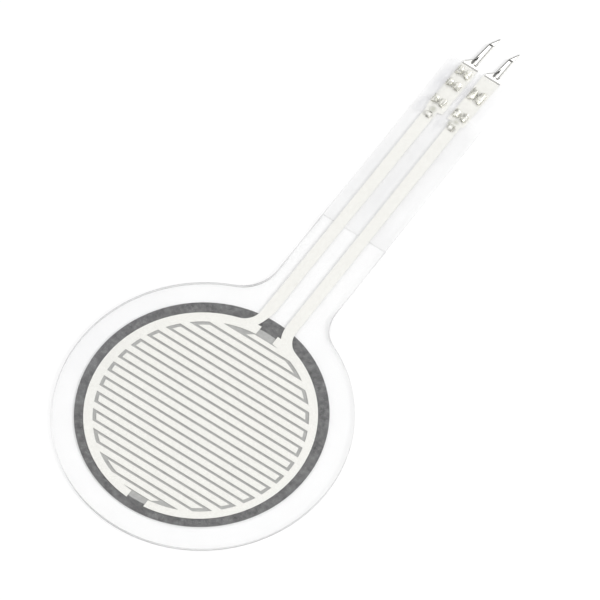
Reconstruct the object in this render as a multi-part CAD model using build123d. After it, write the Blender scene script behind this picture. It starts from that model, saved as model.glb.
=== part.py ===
from build123d import *
from math import sqrt
import os

# A round force sensing resistor: two clear films round a spacer of adhesive, with a printed
# comb of silver facing a disc of sensing ink, and a tail with two crimped solder contacts.
# X runs across the tail and Y along it to the solder tabs, and Z goes up through the layers.
# The origin is the middle of the disc on its underside. All sizes are in millimetres.

# Outline of the films
disc_diameter = 25.4
tail_width = 6.4
tail_shift = 0.28  # the tail is cut a little to the right of the disc's middle
tail_end = 40.1  # from the disc's middle to the end of the tail
left_neck_radius = 3.5
right_neck_radius = 3.0
laminate_reach = 8.8  # the lower film and the spacer go this far past the disc, along the tail

# Layers, from the table up
film_thickness = 0.125
spacer_thickness = 0.1
silver_thickness = 0.02
ink_thickness = 0.02
coat_thickness = 0.02

# Printing: its middle, the ink, and the opening in the spacer
print_x = -0.2  # the printing sits a little to the left of the disc's middle
print_y = -0.08
rim_margin = 2.0  # from the ink to the edge of the disc
ink_margin = 0.87  # from the silver ring to the edge of the ink
ink_lead = 0.16  # the ink is printed this much nearer to the tail than the silver
opening_margin = 0.25  # from the spacer's opening to the outside of the silver ring

# Silver ring and its comb of fingers
ring_width = 0.77
ring_gap = 1.68  # the ring is open by this much at the tail and opposite to it
gap_shift = 0.19  # the middle of those gaps, from the printing's middle
gap_lean = 0.3  # degrees that the line through both gaps leans to the left
finger_pitch = 0.765
comb_x = 0.07  # the comb and the ring's inner edge, from the middle of its outer edge
comb_y = -0.065
finger_gap = 0.22
tip_clearance = 0.31  # from a finger's tip to the ring of the other half
end_finger_clearance = 0.14  # from the outermost fingers to the ring's inner edge
end_finger_reach = 1.6  # how far an outermost finger passes the middle, at its long side
end_finger_slant = 0.55  # how much shorter its outer side is

# Traces, from the ring along the tail
trace_width = 1.04
trace_shift = 0.215  # the middle of the traces, from the printing's middle
trace_pitch = 2.6  # at the disc
trace_pitch_at_end = 2.43
trace_end_margin = 0.08
trace_root_radius = 1.7  # outer fillet between a trace and the ring
left_flare = 0.5  # how much a trace's inner edge moves out on its way down to the ring
right_flare = 0.32
flare_slope = 3.6  # length of a flare for each millimetre that it moves out
flare_bulge = 0.07
pad_width = 1.64  # the silver widens to a pad over each contact
pad_length = 5.1
left_pad_lean = 0.5  # degrees that the pad leans to the right
right_pad_lean = 1.5

# Matt coat printed over the traces
coat_setback = 4.4  # from its end to the end of the tail

# Crimped contacts, each with its own origin on its axis at the end of the tail
contact_stock = 0.16
contact_width = 1.5
contact_waist = 1.0  # width between the rows of teeth
left_offset = 0.22  # each contact sits this much to the right of its trace's end
right_offset = 0.05
left_lean = 2.65  # degrees that the contact leans to the right
right_lean = 1.8
left_teeth = [(-0.85, 0.9), (-2.25, 0.8), (-4.25, 0.85)]  # middle and width of each pair of teeth
right_teeth = [(-2.1, 1.35), (-4.4, 0.9)]
teeth_span = 1.34  # over a pair of teeth
teeth_parting = 0.16  # left open between the two of a pair
tooth_bend = 0.25  # outer radius at both ends of a clinched tooth
tooth_tip_share = 0.55  # width of a tooth's tip as a share of its root
tooth_rounding = 0.14  # of a tooth's corners, seen from above
tongue_width = 0.5
tongue_length = 6.05
tongue_shift = 0.12
tongue_tooth_reach = 0.56
shoulder_start = 0.3  # past the end of the tail
shoulder_slope = 0.9  # how far the shoulder goes out for each millimetre of width lost
roll_width = 0.09  # the punch leaves this slope along the plate's slanted edges
roll_depth = 0.045

# Solder post: a plate with both edges folded over it, and a slanted tip
post_width = 0.6
post_shift = 0.11  # the post sits to the right of the contact's axis
post_taper = 0.17  # its left side leans in by this much on the way to the folds' ends
fold_start = 0.34  # past the end of the tail
fold_end = 2.5
fold_edge_width = 0.1  # slope along the folds' outer edges
fold_edge_depth = 0.05
fold_end_width = 0.22  # slope at the folds' ends
fold_end_depth = 0.11
seam = 0.04
seam_shift = -0.07  # the seam runs to the left of the post's middle
mouth_width = 0.2  # the seam starts as a wide mouth
mouth_length = 0.95
tip_start = 2.62
tip_length = 0.8
tip_width = 0.02  # left at the point, on the right side
left_post_extra = 0.3  # the left tab is cut off the strip a little further out

# Heights worked out from the layers
spacer_bottom = film_thickness
film_bottom = spacer_bottom + spacer_thickness
film_top = film_bottom + film_thickness
silver_bottom = film_bottom - silver_thickness
coat_bottom = silver_bottom - coat_thickness
contact_bottom = coat_bottom - contact_stock

# Places worked out from the sizes above
disc_radius = disc_diameter / 2
tail_left = tail_shift - tail_width / 2
tail_right = tail_shift + tail_width / 2
laminate_end = disc_radius + laminate_reach
coat_end = tail_end - coat_setback
middle_x = print_x + trace_shift
ink_radius = disc_radius - rim_margin
ring_radius = ink_radius - ink_margin
opening_radius = ring_radius - opening_margin
ring_inner_radius = ring_radius - ring_width
tip_radius = ring_inner_radius - tip_clearance
finger_width = finger_pitch - finger_gap
finger_count = 2 * round(ring_inner_radius / finger_pitch)
left_contact_x = middle_x - trace_pitch_at_end / 2 + left_offset
right_contact_x = middle_x + trace_pitch_at_end / 2 + right_offset
tooth_root = film_top - contact_bottom  # where a tooth leaves the film, from the contact's underside
tooth_reach = (teeth_span - teeth_parting) / 2
beyond = 2 * disc_diameter  # longer than anything that it cuts


def film_outline(end):
    """The disc and its tail up to the given Y, with the necks rounded."""
    tail = Pos(tail_shift, end / 2) * Rectangle(tail_width, end)
    outline = Circle(disc_radius) + tail
    for edge_x, radius in ((tail_left, left_neck_radius), (tail_right, right_neck_radius)):
        corner = (edge_x, sqrt(disc_radius**2 - edge_x**2), 0)
        vertex = outline.vertices().sort_by_distance(corner)[0]
        outline = fillet(vertex, radius)
    return outline


def slab(sketch, bottom, top):
    """The sketch as a layer between two heights."""
    return extrude(Pos(0, 0, bottom) * sketch, top - bottom)


def half_plane(side, edge=0.0):
    """Everything further to one side than the given X."""
    return Pos(edge + side * beyond / 2, 0) * Rectangle(beyond, beyond)


def finger(index, side):
    """One finger of the comb, drawn round the comb's middle."""
    y = (index - (finger_count - 1) / 2) * finger_pitch
    joined = Circle(ring_inner_radius + ring_width / 2) & half_plane(side)
    if index not in (0, finger_count - 1):
        return (Pos(0, y) * Rectangle(beyond, finger_width)) & (Circle(tip_radius) + joined)
    outward = 1 if y > 0 else -1
    inner_y = y - outward * finger_width / 2
    outer_y = outward * (ring_inner_radius - end_finger_clearance)
    inner_x = gap_shift - side * end_finger_reach
    outer_x = inner_x + side * end_finger_slant
    corners = [(inner_x, inner_y), (outer_x, outer_y), (side * beyond, outer_y), (side * beyond, inner_y)]
    return make_face(Polyline(*corners, close=True)) & Circle(ring_inner_radius + ring_width / 2)


def trace(side, flare):
    """One trace down the tail, its inner edge flared where it meets the ring."""
    inner = middle_x + side * (trace_pitch - trace_width) / 2
    outer = middle_x + side * (trace_pitch + trace_width) / 2
    end_inner = middle_x + side * (trace_pitch_at_end - trace_width) / 2
    end_outer = end_inner + side * trace_width
    end_y = tail_end - trace_end_margin
    root_y = print_y + ring_radius - ring_width / 2
    mouth_y = print_y + sqrt(ring_radius**2 - (inner + side * flare - print_x) ** 2)
    flare_length = flare_slope * flare
    flare_y = mouth_y + flare_length
    mouth = (inner + side * flare, mouth_y)
    waist = (inner + side * (flare / 2 - flare_bulge), mouth_y + flare_length / 2)
    edge = ThreePointArc(mouth, waist, (inner, flare_y))
    rest = Polyline(
        (inner, flare_y), (end_inner, end_y), (end_outer, end_y), (outer, root_y), (mouth[0], root_y), mouth
    )
    return make_face(edge + rest)


def at_tail_end(shape, x, lean):
    """A shape drawn round its own axis, put in its place at the end of the tail."""
    return Pos(x, tail_end) * Rot(0, 0, -lean) * shape


def electrode(side, flare, pad_x, lean):
    """Half of the ring with every second finger, its trace and its pad, as one sketch."""
    ring = Circle(ring_radius) - Pos(comb_x, comb_y) * Circle(ring_inner_radius)
    comb = ring & (Rot(0, 0, gap_lean) * half_plane(side, gap_shift + side * ring_gap / 2))
    first = 0 if side < 0 else 1
    for index in range(first, finger_count, 2):
        comb += Pos(comb_x, comb_y) * finger(index, side)
    shape = Pos(print_x, print_y) * comb + trace(side, flare)
    root = (middle_x + side * (trace_pitch + trace_width) / 2, print_y + ring_radius, 0)
    vertex = shape.vertices().sort_by_distance(root)[0]
    shape = fillet(vertex, trace_root_radius)
    pad_middle = -trace_end_margin - pad_length / 2
    return shape + at_tail_end(Pos(0, pad_middle) * Rectangle(pad_width, pad_length), pad_x, lean)


def hook(reach):
    """Section of a clinched tooth, from its root at x = 0 inwards to x = -reach."""
    straight = reach - 2 * tooth_bend
    outer = SlotCenterToCenter(straight, 2 * tooth_bend)
    inner = SlotCenterToCenter(straight, 2 * (tooth_bend - contact_stock))
    above = Pos(0, beyond / 2) * Rectangle(beyond, beyond)
    curl = Pos(-reach / 2, tooth_root) * ((outer - inner) & above)
    leg = Pos(-contact_stock / 2, tooth_root / 2) * Rectangle(contact_stock, tooth_root)
    return curl + leg


def tooth(middle, width, side):
    """A rounded tooth that stands up from the plate's side and is clinched on the film."""
    outer_x = teeth_span / 2
    tip_x = outer_x - tooth_reach
    root, tip = width / 2, width * tooth_tip_share / 2
    bar = extrude(Plane.XZ * (Pos(outer_x, 0) * hook(tooth_reach)), root, both=True)
    plan = make_face(Polyline((outer_x, root), (outer_x, -root), (tip_x, -tip), (tip_x, tip), close=True))
    plan = fillet(plan.vertices(), tooth_rounding)
    shaped = bar & extrude(plan, 2 * tooth_root)
    if side < 0:
        shaped = mirror(shaped, Plane.YZ)
    return Pos(0, middle, 0) * shaped


def tongue():
    """The narrow front of the plate, with one small tooth clinched back on the film."""
    section = Pos(-tongue_length, 0) * mirror(hook(tongue_tooth_reach), Plane.YZ)
    bar = extrude(Plane.YZ * section, tongue_width / 2, both=True)
    plan = fillet(Rectangle(tongue_width, tongue_tooth_reach).vertices(), tooth_rounding)
    bar &= extrude(Pos(0, tongue_tooth_reach / 2 - tongue_length) * plan, 2 * tooth_root)
    plate = Pos(0, -tongue_length / 2) * Rectangle(tongue_width, tongue_length - 2 * contact_stock)
    return Pos(tongue_shift, 0, 0) * (bar + extrude(plate, contact_stock))


def sloped(solid, place, width, depth):
    """The solid with a slope along the edge of its top that is nearest to the place."""
    top = solid.faces().sort_by(Axis.Z)[-1]
    edge = top.edges().sort_by_distance((*place, top.center().Z))[0]
    return chamfer(edge, width, depth, reference=top)


def fold(outer, seam_side, lean, length):
    """One edge of the post folded over it, between its outer side and the seam."""
    foot, end = fold_start, fold_start + length
    seam_end = seam_side + lean / 2
    plan = Polyline((outer, foot), (outer + lean, end), (seam_end, end), (seam_side, foot), close=True)
    bar = extrude(Pos(0, 0, contact_stock) * make_face(plan), contact_stock)
    bar = sloped(bar, (seam_end, end), fold_end_width, fold_end_depth)
    return sloped(bar, (outer + lean / 2, (foot + end) / 2), fold_edge_width, fold_edge_depth)


def contact(teeth, extra):
    """One stamped contact: toothed plate under the film, shoulders and folded post."""
    rear = max(middle + width / 2 for middle, width in teeth)
    front = min(middle - width / 2 for middle, width in teeth)
    waist = Pos(0, (front + rear) / 2) * Rectangle(contact_waist, rear - front)
    for middle, width in teeth:
        waist += Pos(0, middle) * Rectangle(teeth_span, width)
    half = contact_width / 2
    left, right = post_shift - post_width / 2, post_shift + post_width / 2
    length = fold_end + extra - fold_start
    tip_left = left + post_taper * (tip_start + extra - fold_start) / length
    body = Polyline(
        (-half, rear),
        (-half, shoulder_start),
        (left, shoulder_start + shoulder_slope * (left + half)),
        (tip_left, tip_start + extra),
        (right - tip_width, tip_start + extra + tip_length),
        (right, tip_start + extra + tip_length),
        (right, shoulder_start + shoulder_slope * (half - right)),
        (half, shoulder_start),
        (half, rear),
        close=True,
    )
    plate = extrude(make_face(body), contact_stock)
    plate = sloped(plate, ((left - half) / 2, shoulder_start), roll_width, roll_depth)
    plate = sloped(plate, (tip_left, tip_start + extra + tip_length / 2), roll_width, roll_depth)
    solid = plate + extrude(waist, contact_stock) + tongue()
    seam_x = post_shift + seam_shift
    folds = fold(left, seam_x - seam / 2, post_taper, length)
    folds += fold(right, seam_x + seam / 2, 0, length)
    mouth = Polyline(
        (seam_x - mouth_width / 2, fold_start),
        (seam_x + mouth_width / 2, fold_start),
        (seam_x + mouth_width / 2, fold_start + mouth_length / 2),
        (seam_x, fold_start + mouth_length),
        (seam_x - mouth_width / 2, fold_start + mouth_length / 2),
        close=True,
    )
    solid += folds - extrude(Pos(0, 0, contact_stock) * make_face(mouth), contact_stock)
    for middle, width in teeth:
        solid += tooth(middle, width, 1) + tooth(middle, width, -1)
    return solid


# Contacts first, because their teeth pierce the film and the printing
left_stamping = Pos(0, 0, contact_bottom) * contact(left_teeth, left_post_extra)
right_stamping = Pos(0, 0, contact_bottom) * contact(right_teeth, 0)
left_contact = at_tail_end(left_stamping, left_contact_x, left_lean)
right_contact = at_tail_end(right_stamping, right_contact_x, right_lean)

left_silver = electrode(-1, left_flare, left_contact_x, left_pad_lean)
right_silver = electrode(1, right_flare, right_contact_x, right_pad_lean)
left_electrode = slab(left_silver, silver_bottom, film_bottom)
right_electrode = slab(right_silver, silver_bottom, film_bottom)

ink_disc = Pos(print_x, print_y + ink_lead) * Circle(ink_radius)
sensing_ink = slab(ink_disc, spacer_bottom, spacer_bottom + ink_thickness)
sensing_film = slab(film_outline(laminate_end), 0, film_thickness)

opening = Pos(print_x, print_y) * Circle(opening_radius)
spacer = slab(film_outline(laminate_end) - opening, spacer_bottom, film_bottom)
spacer_adhesive = spacer - sensing_ink - left_electrode - right_electrode

coat_length = coat_end - laminate_end
coat_area = Pos(tail_shift, laminate_end + coat_length / 2) * Rectangle(tail_width, coat_length)
coat = slab(coat_area, coat_bottom, film_bottom)
tail_coat = coat - left_electrode - right_electrode - left_contact - right_contact

electrode_film = slab(film_outline(tail_end), film_bottom, film_top) - left_contact - right_contact
left_electrode = left_electrode - left_contact
right_electrode = right_electrode - right_contact

nodes = {
    "electrode_film": electrode_film,
    "left_electrode": left_electrode,
    "right_electrode": right_electrode,
    "spacer_adhesive": spacer_adhesive,
    "sensing_ink": sensing_ink,
    "sensing_film": sensing_film,
    "tail_coat": tail_coat,
    "left_contact": left_contact,
    "right_contact": right_contact,
}

os.makedirs("parts", exist_ok=True)
for name, shape in nodes.items():
    export_step(shape, f"parts/{name}.step")
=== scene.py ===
import math

import bpy
from mathutils import Matrix, Vector


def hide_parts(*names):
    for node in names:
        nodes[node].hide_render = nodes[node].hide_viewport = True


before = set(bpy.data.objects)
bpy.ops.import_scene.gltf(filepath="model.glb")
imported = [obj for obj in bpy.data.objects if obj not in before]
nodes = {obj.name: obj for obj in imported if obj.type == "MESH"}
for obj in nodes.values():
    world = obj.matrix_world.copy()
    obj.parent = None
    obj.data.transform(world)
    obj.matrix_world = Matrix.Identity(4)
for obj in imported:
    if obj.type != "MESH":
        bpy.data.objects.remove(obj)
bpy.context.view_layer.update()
mm = 0.001
print("stage 1: frame loaded,", len(nodes), "nodes")


# Camera: a long lens, turned a little about its own axis

camera = {
    "azimuth": 37.72, "elevation": 61.08, "roll": 2.64,  # degrees
    "aim": (0.25 * mm, 13.64 * mm, 0.2 * mm),
    "distance": 1.95, "near": 0.05, "far": 10.0,  # metres
    "lens": 1395.3,
}


def directionOf(azimuth, elevation):
    a, e = math.radians(azimuth), math.radians(elevation)
    return Vector((math.sin(a) * math.cos(e), -math.cos(a) * math.cos(e), math.sin(e)))


def makeCamera(look):
    data = bpy.data.cameras.new("studioCamera")
    data.lens = look["lens"]
    data.clip_start = look["near"]
    data.clip_end = look["far"]
    obj = bpy.data.objects.new("studioCamera", data)
    bpy.context.scene.collection.objects.link(obj)
    turn = math.radians(look["azimuth"])
    roll = math.radians(look["roll"])
    back = directionOf(look["azimuth"], look["elevation"])
    level = Vector((math.cos(turn), math.sin(turn), 0))
    upright = back.cross(level)
    right = level * math.cos(roll) - upright * math.sin(roll)
    up = level * math.sin(roll) + upright * math.cos(roll)
    facing = Matrix((right, up, back)).transposed().to_4x4()
    obj.matrix_world = Matrix.Translation(Vector(look["aim"]) + back * look["distance"]) @ facing
    bpy.context.scene.camera = obj


makeCamera(camera)
print("stage 2: camera placed")


# Small helpers for node trees; each value they take is a number, a colour, a vector or an output

def addNode(tree, kind, **values):
    node = tree.nodes.new(kind)
    for key, value in values.items():
        setattr(node, key, value)
    return node


def feed(tree, socket, value):
    if hasattr(value, "node"):
        tree.links.new(value, socket)
    elif socket.type == "RGBA":
        socket.default_value = (*value, 1)
    else:
        socket.default_value = value


def joinMath(tree, operation, a, b=None, clamp=False):
    node = addNode(tree, "ShaderNodeMath", operation=operation, use_clamp=clamp)
    feed(tree, node.inputs[0], a)
    if b is not None:
        feed(tree, node.inputs[1], b)
    return node.outputs[0]


def joinVectors(tree, operation, a, b=None):
    node = addNode(tree, "ShaderNodeVectorMath", operation=operation)
    feed(tree, node.inputs[0], a)
    if b is not None:
        feed(tree, node.inputs[1], b)
    return node.outputs["Value" if operation in ("LENGTH", "DOT_PRODUCT") else "Vector"]


def mixColours(tree, factor, first, second):
    node = addNode(tree, "ShaderNodeMix", data_type="RGBA")
    firstSlot, secondSlot = [socket for socket in node.inputs if socket.type == "RGBA"]
    feed(tree, node.inputs[0], factor)
    feed(tree, firstSlot, first)
    feed(tree, secondSlot, second)
    return [socket for socket in node.outputs if socket.type == "RGBA"][0]


def ramp(tree, value, low, high, atLow=0.0, atHigh=1.0, smooth=True):
    # runs from one level to the other while the value goes from low to high
    node = addNode(tree, "ShaderNodeMapRange", clamp=True)
    node.interpolation_type = "SMOOTHSTEP" if smooth else "LINEAR"
    levels = {"Value": value, "From Min": low, "From Max": high, "To Min": atLow, "To Max": atHigh}
    for label, level in levels.items():
        feed(tree, node.inputs[label], level)
    return node.outputs["Result"]


def placeOf(tree, kind="Object"):
    return tree.nodes.new("ShaderNodeTexCoord").outputs[kind]


def splitOf(tree, vector):
    node = tree.nodes.new("ShaderNodeSeparateXYZ")
    tree.links.new(vector, node.inputs[0])
    return node.outputs


def newMaterial(name):
    material = bpy.data.materials.new(name)
    material.use_nodes = True
    tree = material.node_tree
    tree.nodes.clear()
    output = tree.nodes.new("ShaderNodeOutputMaterial")
    shader = tree.nodes.new("ShaderNodeBsdfPrincipled")
    tree.links.new(shader.outputs["BSDF"], output.inputs["Surface"])
    return material, tree, shader


def dress(name, material):
    mesh = nodes[name].data
    mesh.materials.clear()
    mesh.materials.append(material)


# What the looks need to know of the frame, in millimetres

def faceHeights(name):
    return sorted({round(vertex.co.z / mm, 3) for vertex in nodes[name].data.vertices})


def tailReach(name):
    return round(max(vertex.co.y for vertex in nodes[name].data.vertices) / mm, 3)


sameHeight = 0.005  # heights closer than this are one face
upperFilmEnd = tailReach("electrode_film")
lowerFilmEnd = tailReach("sensing_film")


# Shader groups that several finishes share

def newGroup(name, inputs, outputs):
    group = bpy.data.node_groups.new(name, "ShaderNodeTree")
    for label, kind, value in inputs:
        socket = group.interface.new_socket(name=label, in_out="INPUT", socket_type=kind)
        socket.default_value = value
    for label, kind in outputs:
        group.interface.new_socket(name=label, in_out="OUTPUT", socket_type=kind)
    entry = group.nodes.new("NodeGroupInput")
    leave = group.nodes.new("NodeGroupOutput")
    return group, entry.outputs, leave.inputs


def makeMottle():
    # cloudy and fine variation, both 0 to 1, sized in millimetres
    group, entry, leave = newGroup(
        "mottle",
        [("Cloud Size", "NodeSocketFloat", 3.0), ("Grain Size", "NodeSocketFloat", 0.12)],
        [("Cloud", "NodeSocketFloat"), ("Grain", "NodeSocketFloat")],
    )
    place = placeOf(group)
    for label, detail in (("Cloud", 4.0), ("Grain", 2.0)):
        metres = joinMath(group, "MULTIPLY", entry[label + " Size"], mm)
        noise = group.nodes.new("ShaderNodeTexNoise")
        noise.inputs["Detail"].default_value = detail
        feed(group, noise.inputs["Vector"], place)
        feed(group, noise.inputs["Scale"], joinMath(group, "DIVIDE", 1.0, metres))
        feed(group, leave[label], noise.outputs["Fac"])
    return group


def makeSideMask():
    # 1 on upright walls, 0 on flat faces
    group, entry, leave = newGroup(
        "sideMask", [("Sharpness", "NodeSocketFloat", 4.0)], [("Side", "NodeSocketFloat")]
    )
    normal = group.nodes.new("ShaderNodeNewGeometry").outputs["True Normal"]
    flat = joinMath(group, "ABSOLUTE", splitOf(group, normal)["Z"])
    side = joinMath(group, "SUBTRACT", 1.0, flat)
    feed(group, leave["Side"], joinMath(group, "MULTIPLY", side, entry["Sharpness"], clamp=True))
    return group


def makePatch():
    # 1 at the middle of a soft oval drawn in the plane of the films, 0 outside it
    group, entry, leave = newGroup(
        "softPatch",
        [("Middle", "NodeSocketVector", (0, 0, 0)), ("Reach", "NodeSocketVector", (1, 1, 1))],
        [("Patch", "NodeSocketFloat")],
    )
    shift = joinVectors(group, "SUBTRACT", placeOf(group), entry["Middle"])
    away = joinVectors(group, "LENGTH", joinVectors(group, "DIVIDE", shift, entry["Reach"]))
    feed(group, leave["Patch"], ramp(group, away, 0.0, 1.0, 1.0, 0.0))
    return group


def makeAlongMask():
    # 0 before the start and 1 past the end, measured along the tail
    group, entry, leave = newGroup(
        "alongTail",
        [("Start", "NodeSocketFloat", 0.0), ("End", "NodeSocketFloat", 0.001)],
        [("Past", "NodeSocketFloat")],
    )
    along = splitOf(group, placeOf(group))["Y"]
    feed(group, leave["Past"], ramp(group, along, entry["Start"], entry["End"]))
    return group


mottle = makeMottle()
sideMask = makeSideMask()
softPatch = makePatch()
alongTail = makeAlongMask()


def useGroup(tree, group, values=None):
    node = addNode(tree, "ShaderNodeGroup", node_tree=group)
    for label, value in (values or {}).items():
        node.inputs[label].default_value = value
    return node.outputs


def pastPlace(tree, start, end):
    # both places in millimetres along the tail
    return useGroup(tree, alongTail, {"Start": start * mm, "End": end * mm})["Past"]


def patchAt(tree, middle, reach):
    # a soft oval, its middle and half axes in millimetres
    places = {
        "Middle": (middle[0] * mm, middle[1] * mm, 0),
        "Reach": (reach[0] * mm, reach[1] * mm, 1.0),
    }
    return useGroup(tree, softPatch, places)["Patch"]


# Clear layers: a thin haze on the outer face only, with patches of haze and painted shade, and a
# greyer line on cut edges.
# Places are in millimetres: a patch has its middle, its half axes and its strength, and a fade
# has its start and end along the tail and the share that is left past it.

bondGap = 0.003 * mm  # drawn between bonded faces, so that no two of them share a height
filmRefraction = 1.5
hazeCloudSize = 4.0
coolShade = (0.55, 0.55, 0.6)
oliveShade = (0.42, 0.43, 0.33)
softShade = (0.7, 0.7, 0.71)

rimTones = [
    ((3.45, 18.0), (1.5, 7.0), -0.7), ((-2.92, 18.2), (1.2, 3.4), -0.5),
    ((-3.9, 12.8), (1.9, 2.0), 0.4), ((3.9, 12.7), (1.8, 2.6), 1.4),
    ((-1.0, -12.7), (8.0, 3.5), 0.6), ((12.7, 1.0), (3.0, 8.0), -0.2),
]  # painted light and shade: where the cut edges of both films are drawn lighter or darker

clearLooks = {
    "electrode_film": {
        "name": "clearUpperFilm", "slot": "clear_film", "roughness": 0.12, "outerFace": "top",
        "colour": (0.64, 0.645, 0.65), "haze": 0.046, "cloud": 0.04, "fade": None,
        "edge": 0.55, "edgeColour": (0.3, 0.305, 0.31), "edgeFade": (20.0, 26.0, 0.15),
        "edgeTones": rimTones + [((9.0, -8.0), (11.0, 11.0), -0.6)],
        "hazeAndShade": [
            ((-12.0, 2.0), (6.0, 12.0), 0.035, coolShade),  # painted shade on the disc's left rim
            ((-2.25, 37.7), (0.95, 3.6), 0.26, coolShade),  # painted shadow beside the pads
            ((0.2, 37.7), (0.42, 3.4), 0.26, coolShade),
            ((2.5, 37.4), (0.9, 4.2), 0.07, coolShade),
            ((-2.3, 34.8), (0.7, 1.4), 0.19, coolShade),  # painted shade beside the small teeth
            ((0.0, 34.2), (0.6, 1.7), 0.15, coolShade),
            ((-1.13, 34.28), (0.42, 0.42), 0.4, oliveShade),  # painted shadow close round them
            ((1.22, 34.28), (0.42, 0.42), 0.35, oliveShade),
            ((-1.15, 34.95), (0.55, 0.55), 0.4, oliveShade),  # painted shade between them and the next teeth
            ((0.75, 34.6), (0.28, 0.6), 0.4, oliveShade),
            ((1.2, 35.0), (0.5, 0.4), 0.35, oliveShade),
        ],
    },
    "sensing_film": {
        "name": "clearLowerFilm", "slot": "clear_film", "roughness": 0.15, "outerFace": "bottom",
        "colour": (0.62, 0.62, 0.63), "haze": 0.05, "cloud": 0.03, "fade": None,
        "edge": 0.5, "edgeColour": (0.2, 0.2, 0.205), "edgeFade": None,
        "edgeTones": rimTones + [
            ((9.0, -8.0), (11.0, 11.0), 0.3),
            ((0.0, lowerFilmEnd), (6.5, 0.6), -0.6),  # its end across the tail shows only faintly
        ],
        "hazeAndShade": [],
    },
    "spacer_adhesive": {
        "name": "clearAdhesive", "slot": "adhesive", "roughness": 0.3, "outerFace": None,
        "colour": (0.82, 0.82, 0.81),
        "edge": 0.12, "edgeColour": (0.4, 0.4, 0.4), "edgeFade": None,
        "edgeTones": [],
    },
    "tail_coat": {
        "name": "mattCoat", "slot": "matt_coat", "roughness": 0.55, "outerFace": "bottom",
        "colour": (0.74, 0.74, 0.745), "haze": 0.145, "cloud": 0.08, "fade": (34.2, 35.9, 0.35),
        "edge": 0.2, "edgeColour": (0.55, 0.55, 0.55), "edgeFade": (30.0, 35.0, 0.0),
        "edgeTones": [],
        "hazeAndShade": [
            ((0.0, 27.5), (0.9, 10.0), 0.075, softShade),  # darker between the traces
            ((-2.4, 28.0), (1.0, 11.0), 0.03, softShade),  # darker left of them
            ((3.1, 27.0), (1.2, 9.0), -0.06, softShade),  # lighter at the right edge
        ],
    },
}


def fadedAlong(tree, value, fade):
    if fade is None:
        return value
    start, end, rest = fade
    loss = joinMath(tree, "MULTIPLY", pastPlace(tree, start, end), 1.0 - rest)
    return joinMath(tree, "MULTIPLY", value, joinMath(tree, "SUBTRACT", 1.0, loss))


def outerHeight(name, look):
    # in millimetres; a layer that is bonded on both sides has no outer face
    if look["outerFace"] is None:
        return None
    heights = faceHeights(name)
    return heights[-1] if look["outerFace"] == "top" else heights[0]


def faceHaze(tree, look, height):
    # the haze's alpha on the outer face, and its colour, with patches of haze and painted shade
    clouds = useGroup(tree, mottle, {"Cloud Size": hazeCloudSize})
    patchy = joinMath(tree, "MULTIPLY", clouds["Cloud"], look["cloud"])
    haze = joinMath(tree, "ADD", patchy, look["haze"] - look["cloud"] / 2)
    haze = fadedAlong(tree, haze, look["fade"])
    colour = look["colour"]
    for middle, reach, strength, shade in look["hazeAndShade"]:
        hazeShade = patchAt(tree, middle, reach)
        haze = joinMath(tree, "ADD", haze, joinMath(tree, "MULTIPLY", hazeShade, strength))
        colour = mixColours(tree, hazeShade, colour, shade)
    outer = addNode(tree, "ShaderNodeMath", operation="COMPARE")
    feed(tree, outer.inputs[0], splitOf(tree, placeOf(tree))["Z"])
    outer.inputs[1].default_value = height * mm
    outer.inputs[2].default_value = sameHeight * mm
    return joinMath(tree, "MULTIPLY", haze, outer.outputs[0]), colour


def cutEdge(tree, look, side):
    # the alpha of the upright walls, drawn lighter or darker by place as painted light and shade
    edge = joinMath(tree, "MULTIPLY", side, look["edge"])
    edge = fadedAlong(tree, edge, look["edgeFade"])
    for middle, reach, change in look["edgeTones"]:
        more = joinMath(tree, "MULTIPLY", patchAt(tree, middle, reach), change)
        edge = joinMath(tree, "MULTIPLY", edge, joinMath(tree, "ADD", 1.0, more))
    return edge


def clearMaterial(look, height):
    material, tree, shader = newMaterial(look["name"])
    shader.inputs["Roughness"].default_value = look["roughness"]
    shader.inputs["IOR"].default_value = filmRefraction
    side = useGroup(tree, sideMask)["Side"]
    alpha = cutEdge(tree, look, side)
    colour = look["colour"]
    if height is not None:
        haze, colour = faceHaze(tree, look, height)
        alpha = joinMath(tree, "MAXIMUM", haze, alpha)
    feed(tree, shader.inputs["Alpha"], alpha)
    feed(tree, shader.inputs["Base Color"], mixColours(tree, side, colour, look["edgeColour"]))
    return material


def drawnLayer(name, look, height, material):
    # the layer's own mesh, its inner faces drawn back from what they are bonded to
    layer = nodes[name].copy()
    layer.data = nodes[name].data.copy()
    layer.name = look["name"] + "Layer"
    bpy.context.scene.collection.objects.link(layer)
    lowest = faceHeights(name)[0]
    for vertex in layer.data.vertices:
        own = round(vertex.co.z / mm, 3)
        if height is None or abs(own - height) > sameHeight:
            vertex.co.z += bondGap if own == lowest else -bondGap
    layer.data.materials.clear()
    layer.data.materials.append(material)
    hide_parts(name)


for nodeName, look in clearLooks.items():
    height = outerHeight(nodeName, look)
    clear = clearMaterial(look, height)
    dress(nodeName, clear)
    drawnLayer(nodeName, look, height, clear)
print("stage 3: clear layers dressed")


# Sensing ink: dark where the adhesive wets it, lighter across the air inside the spacer

inkLook = {
    "middle": (-0.2, -0.08), "openingRadius": 9.58, "edgeWidth": 0.03,  # millimetres
    "wetColour": (0.14, 0.14, 0.141), "dryColour": (0.445, 0.445, 0.435), "roughness": 0.75,
    # painted light: a lighter spot on the wet ink between the ring's ends, where no silver shades it
    "paintedLightSpot": ((0.0, 10.2), (1.6, 1.0), 0.3), "paintedLightColour": (0.2, 0.2, 0.2),
    "cloudSize": 1.2, "grainSize": 0.34, "cloudShare": 0.5,
    "speckleMean": 0.75, "speckleGain": 2.0, "wetSpeckle": 0.85, "drySpeckle": 0.2,
}


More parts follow.
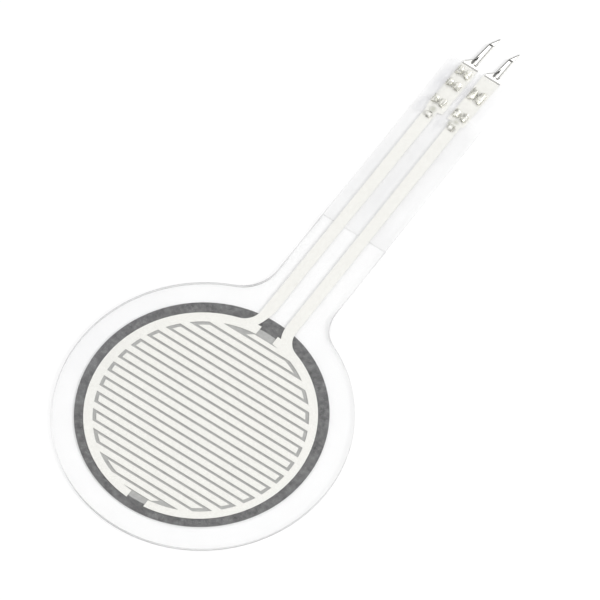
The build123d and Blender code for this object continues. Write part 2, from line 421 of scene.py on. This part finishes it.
def wetMask(tree, look):
    # 0 inside the spacer's opening, 1 under the adhesive
    middle = (look["middle"][0] * mm, look["middle"][1] * mm, 0)
    shift = joinVectors(tree, "SUBTRACT", placeOf(tree), middle)
    away = joinVectors(tree, "LENGTH", joinVectors(tree, "MULTIPLY", shift, (1, 1, 0)))
    inner = (look["openingRadius"] - look["edgeWidth"]) * mm
    outer = (look["openingRadius"] + look["edgeWidth"]) * mm
    return ramp(tree, away, inner, outer, smooth=False)


def speckle(tree, look, wet):
    # about 1, with more swing where the ink is wet
    clouds = useGroup(tree, mottle, {"Cloud Size": look["cloudSize"], "Grain Size": look["grainSize"]})
    cloud = joinMath(tree, "MULTIPLY", clouds["Cloud"], look["cloudShare"])
    blotch = joinMath(tree, "ADD", clouds["Grain"], cloud)
    centred = joinMath(tree, "SUBTRACT", blotch, look["speckleMean"])
    swing = joinMath(tree, "MULTIPLY", centred, look["speckleGain"])
    depth = ramp(tree, wet, 0.0, 1.0, look["drySpeckle"], look["wetSpeckle"], smooth=False)
    return joinMath(tree, "ADD", joinMath(tree, "MULTIPLY", swing, depth), 1.0)


def inkMaterial(look):
    material, tree, shader = newMaterial("carbonInk")
    shader.inputs["Roughness"].default_value = look["roughness"]
    wet = wetMask(tree, look)
    # painted light: the wet ink drawn lighter in one spot
    middle, reach, strength = look["paintedLightSpot"]
    paintedLight = joinMath(tree, "MULTIPLY", patchAt(tree, middle, reach), strength)
    wetColour = mixColours(tree, paintedLight, look["wetColour"], look["paintedLightColour"])
    base = mixColours(tree, wet, look["dryColour"], wetColour)
    speckled = addNode(tree, "ShaderNodeVectorMath", operation="SCALE")
    feed(tree, speckled.inputs[0], base)
    feed(tree, speckled.inputs["Scale"], speckle(tree, look, wet))
    feed(tree, shader.inputs["Base Color"], speckled.outputs[0])
    return material


dress("sensing_ink", inkMaterial(inkLook))


# Silver print: pale, satin, with the fine texture of the printing screen

silverLook = {
    "colour": (0.995, 0.99, 0.95), "deep": (0.82, 0.812, 0.77), "metallic": 0.2, "roughness": 0.5,
    "grain": 0.15, "bump": 0.2, "bumpHeight": 0.01,  # the sizes in millimetres
}


def silverMaterial(look):
    material, tree, shader = newMaterial("silverPrint")
    shader.inputs["Metallic"].default_value = look["metallic"]
    shader.inputs["Roughness"].default_value = look["roughness"]
    grain = useGroup(tree, mottle, {"Grain Size": look["grain"]})["Grain"]
    feed(tree, shader.inputs["Base Color"], mixColours(tree, grain, look["colour"], look["deep"]))
    bump = tree.nodes.new("ShaderNodeBump")
    bump.inputs["Strength"].default_value = look["bump"]
    bump.inputs["Distance"].default_value = look["bumpHeight"] * mm
    feed(tree, bump.inputs["Height"], grain)
    feed(tree, shader.inputs["Normal"], bump.outputs["Normal"])
    return material


silverPrint = silverMaterial(silverLook)
for nodeName in ("left_electrode", "right_electrode"):
    dress(nodeName, silverPrint)


# Contacts: bright tin over stamped brass, satin and crumpled where the teeth are clinched, with
# painted shade in hollows and on the teeth, a painted shadow of the film's end and painted highlights
# on the small teeth.
# Sizes and places are in millimetres.

tinLook = {
    "colour": (0.93, 0.925, 0.9), "dull": (0.7, 0.69, 0.65), "dullShare": 0.4, "roughness": 0.18,
    "cloudSize": 0.5, "grainSize": 0.05, "grainRoughness": 0.2, "dents": 0.5, "dentHeight": 0.03,
    "edgeRadius": 0.04, "edgeSamples": 6, "crimpEnd": (upperFilmEnd - 0.2, upperFilmEnd),
    "crimpColour": (0.96, 0.95, 0.89), "crimpDull": (0.66, 0.66, 0.57), "crimpSpots": 0.75,
    "spotRange": (0.44, 0.62), "crimpMetallic": 0.6, "crimpRoughness": 0.36,
    "lumpSize": 0.3, "lumps": 1.0, "lumpHeight": 0.12,
    # painted shade: near black past the film, pale on the crimps; the near-black one also draws the
    # film's shadow and the marks on the teeth
    "paintedShade": (0.03, 0.029, 0.027), "crimpPaintedShade": (0.8, 0.79, 0.72),
    "hollowShadeReach": 0.25, "hollowShadeSamples": 8, "hollowShadeFull": 0.44, "hollowShadeNone": 0.64,
    # painted shadow of the film's end across the plate
    "filmShadowLine": (upperFilmEnd - 0.07, upperFilmEnd + 0.06), "filmShadowDepth": 0.65,
    "filmShadowBlur": 0.04,
    "glint": (0.99, 0.985, 0.95),
    "glints": [((-1.06, 34.25), (0.3, 0.24)), ((1.14, 34.22), (0.3, 0.24))],  # painted highlights on the small teeth
    # painted shade: dark marks drawn on the teeth
    "shades": [
        ((-1.2, 34.04), (0.36, 0.15), 0.62), ((-1.02, 34.5), (0.25, 0.14), 0.8),  # small tooth, left
        ((1.3, 34.04), (0.34, 0.14), 0.5), ((1.43, 34.25), (0.13, 0.25), 0.5),  # small tooth, right
        ((-1.35, 35.65), (0.35, 0.35), 0.45), ((-0.65, 35.8), (0.2, 0.5), 0.45),  # left pairs
        ((-1.35, 37.7), (0.35, 0.35), 0.4), ((-0.6, 37.55), (0.25, 0.3), 0.5),
        ((-1.3, 39.15), (0.35, 0.35), 0.45),
        ((0.7, 35.85), (0.2, 0.22), 0.55), ((1.55, 35.85), (0.35, 0.4), 0.5),  # right pairs
        ((1.5, 35.35), (0.25, 0.15), 0.4), ((1.6, 37.25), (0.25, 0.15), 0.4),
        ((0.85, 38.25), (0.35, 0.3), 0.45), ((1.5, 38.2), (0.35, 0.35), 0.45),
    ],
}


def hollowShadeMask(tree, look):
    # painted shade: 1 in hollows and corners
    hollow = addNode(
        tree, "ShaderNodeAmbientOcclusion", samples=look["hollowShadeSamples"], only_local=True
    )
    hollow.inputs["Distance"].default_value = look["hollowShadeReach"] * mm
    return ramp(tree, hollow.outputs["AO"], look["hollowShadeFull"], look["hollowShadeNone"], 1.0, 0.0)


def filmShadowMask(tree, look):
    # painted shadow: the dark line that the end of the film draws across the plate
    start, end = look["filmShadowLine"]
    entered = pastPlace(tree, start - look["filmShadowBlur"], start)
    left = pastPlace(tree, end, end + look["filmShadowBlur"])
    line = joinMath(tree, "SUBTRACT", entered, left)
    return joinMath(tree, "MULTIPLY", line, look["filmShadowDepth"])


def tinColour(tree, look, past, clouds, lumps):
    spots = ramp(tree, lumps, *look["spotRange"], 0.0, look["crimpSpots"], smooth=False)
    crimped = mixColours(tree, spots, look["crimpColour"], look["crimpDull"])
    dull = joinMath(tree, "MULTIPLY", clouds["Cloud"], look["dullShare"])
    drawn = mixColours(tree, dull, look["colour"], look["dull"])
    clean = mixColours(tree, past, crimped, drawn)
    # painted shade in hollows, then the film's painted shadow, painted highlights and painted shade
    # marks
    hollowShadeColour = mixColours(tree, past, look["crimpPaintedShade"], look["paintedShade"])
    shade = mixColours(tree, hollowShadeMask(tree, look), clean, hollowShadeColour)
    shade = mixColours(tree, filmShadowMask(tree, look), shade, look["paintedShade"])
    for middle, reach in look["glints"]:
        shade = mixColours(tree, patchAt(tree, middle, reach), shade, look["glint"])
    for middle, reach, strength in look["shades"]:
        shadow = joinMath(tree, "MULTIPLY", patchAt(tree, middle, reach), strength)
        shade = mixColours(tree, shadow, shade, look["paintedShade"])
    return shade


def tinMetallic(tree, look, past):
    # full past the film, less on the crimps and none at their painted highlights
    metallic = joinMath(tree, "MULTIPLY", past, 1.0 - look["crimpMetallic"])
    metallic = joinMath(tree, "ADD", metallic, look["crimpMetallic"])
    for middle, reach in look["glints"]:
        bare = joinMath(tree, "SUBTRACT", 1.0, patchAt(tree, middle, reach))
        metallic = joinMath(tree, "MULTIPLY", metallic, bare)
    return metallic


def tinRoughness(tree, look, past, clouds):
    grain = joinMath(tree, "MULTIPLY", clouds["Grain"], look["grainRoughness"])
    smooth = joinMath(tree, "MULTIPLY", past, look["roughness"] - look["crimpRoughness"])
    level = joinMath(tree, "ADD", smooth, look["crimpRoughness"] - look["grainRoughness"] / 2)
    return joinMath(tree, "ADD", grain, level)


def tinNormal(tree, look, past, clouds, lumps):
    # rounded edges, fine dents, and lumps on the crimps alone
    rounded = addNode(tree, "ShaderNodeBevel", samples=look["edgeSamples"])
    rounded.inputs["Radius"].default_value = look["edgeRadius"] * mm
    dents = tree.nodes.new("ShaderNodeBump")
    dents.inputs["Strength"].default_value = look["dents"]
    dents.inputs["Distance"].default_value = look["dentHeight"] * mm
    feed(tree, dents.inputs["Normal"], rounded.outputs["Normal"])
    feed(tree, dents.inputs["Height"], clouds["Cloud"])
    crumple = tree.nodes.new("ShaderNodeBump")
    crumple.inputs["Distance"].default_value = look["lumpHeight"] * mm
    crimped = joinMath(tree, "SUBTRACT", 1.0, past)
    feed(tree, crumple.inputs["Strength"], joinMath(tree, "MULTIPLY", crimped, look["lumps"]))
    feed(tree, crumple.inputs["Normal"], dents.outputs["Normal"])
    feed(tree, crumple.inputs["Height"], lumps)
    return crumple.outputs["Normal"]


def tinMaterial(look):
    material, tree, shader = newMaterial("tinnedMetal")
    clouds = useGroup(tree, mottle, {"Cloud Size": look["cloudSize"], "Grain Size": look["grainSize"]})
    lumps = useGroup(tree, mottle, {"Cloud Size": look["lumpSize"]})["Cloud"]
    past = pastPlace(tree, *look["crimpEnd"])
    feed(tree, shader.inputs["Metallic"], tinMetallic(tree, look, past))
    feed(tree, shader.inputs["Base Color"], tinColour(tree, look, past, clouds, lumps))
    feed(tree, shader.inputs["Roughness"], tinRoughness(tree, look, past, clouds))
    feed(tree, shader.inputs["Normal"], tinNormal(tree, look, past, clouds, lumps))
    return material


tinnedMetal = tinMaterial(tinLook)
for nodeName in ("left_contact", "right_contact"):
    dress(nodeName, tinnedMetal)
print("stage 4: ink, silver and contacts dressed")


# Floor, surroundings and lamp

floor = {"half": 3.0, "drop": 0.02 * mm, "colour": (0.6, 0.6, 0.6), "roughness": 0.9, "glow": 0.42}


def makeFloor(look):
    half = look["half"]
    corners = [(-half, -half, 0), (half, -half, 0), (half, half, 0), (-half, half, 0)]
    mesh = bpy.data.meshes.new("paleFloor")
    mesh.from_pydata(corners, [], [(0, 1, 2, 3)])
    obj = bpy.data.objects.new("paleFloor", mesh)
    bpy.context.scene.collection.objects.link(obj)
    obj.location.z = -look["drop"]
    material, tree, shader = newMaterial("paleFloor")
    shader.inputs["Roughness"].default_value = look["roughness"]
    shader.inputs["Base Color"].default_value = (*look["colour"], 1)
    shader.inputs["Specular IOR Level"].default_value = 0.0
    shader.inputs["Emission Color"].default_value = (1, 1, 1, 1)
    path = tree.nodes.new("ShaderNodeLightPath")
    seen = joinMath(tree, "MAXIMUM", path.outputs["Is Camera Ray"], path.outputs["Is Glossy Ray"])
    seen = joinMath(tree, "MAXIMUM", seen, path.outputs["Is Transmission Ray"])
    feed(tree, shader.inputs["Emission Strength"], joinMath(tree, "MULTIPLY", seen, look["glow"]))
    mesh.materials.append(material)


room = {
    "strength": 0.745,
    "softbox": ((217, 64), 10, 20, 0.8),  # direction, inner and outer angle in degrees, strength
    "flags": [
        ((243, 10), 12, 34, 0.95), ((200, 6), 12, 34, 0.8),
        ((114, 12), 10, 26, 0.45), ((126, 50), 8, 18, 0.5),
    ],  # the same for the dark cards that the bright metal mirrors
}


def patchToward(tree, direction, inner, outer):
    # 1 in a direction of the surroundings, 0 past the outer angle from it
    facing = joinVectors(tree, "DOT_PRODUCT", placeOf(tree, "Generated"), directionOf(*direction))
    return ramp(tree, facing, math.cos(math.radians(outer)), math.cos(math.radians(inner)))


def makeWorld(look):
    world = bpy.data.worlds.new("paleRoom")
    bpy.context.scene.world = world
    world.use_nodes = True
    tree = world.node_tree
    tree.nodes.clear()
    output = tree.nodes.new("ShaderNodeOutputWorld")
    background = tree.nodes.new("ShaderNodeBackground")
    background.inputs["Color"].default_value = (1, 1, 1, 1)
    tree.links.new(background.outputs[0], output.inputs["Surface"])
    dark = 0.0
    for direction, inner, outer, depth in look["flags"]:
        flag = joinMath(tree, "MULTIPLY", patchToward(tree, direction, inner, outer), depth)
        dark = joinMath(tree, "MAXIMUM", flag, dark)
    level = joinMath(tree, "MULTIPLY", joinMath(tree, "SUBTRACT", 1.0, dark), look["strength"])
    direction, inner, outer, strength = look["softbox"]
    softbox = joinMath(tree, "MULTIPLY", patchToward(tree, direction, inner, outer), strength)
    feed(tree, background.inputs["Strength"], joinMath(tree, "ADD", level, softbox))


keyLamp = {"azimuth": 95, "elevation": 42, "distance": 0.9, "size": 0.35, "power": 4.2}


def makeLamp(look):
    data = bpy.data.lights.new("keyLamp", "AREA")
    data.size = look["size"]
    data.energy = look["power"]
    obj = bpy.data.objects.new("keyLamp", data)
    bpy.context.scene.collection.objects.link(obj)
    back = directionOf(look["azimuth"], look["elevation"])
    obj.location = Vector(camera["aim"]) + back * look["distance"]
    obj.rotation_mode = "QUATERNION"
    obj.rotation_quaternion = back.to_track_quat("Z", "Y")


makeFloor(floor)
makeWorld(room)
makeLamp(keyLamp)
bpy.context.scene.view_settings.view_transform = "Standard"
bpy.context.scene.cycles.transparent_max_bounces = 64  # the clear layers lie many deep
print("stage 5: floor, room and lamp made")
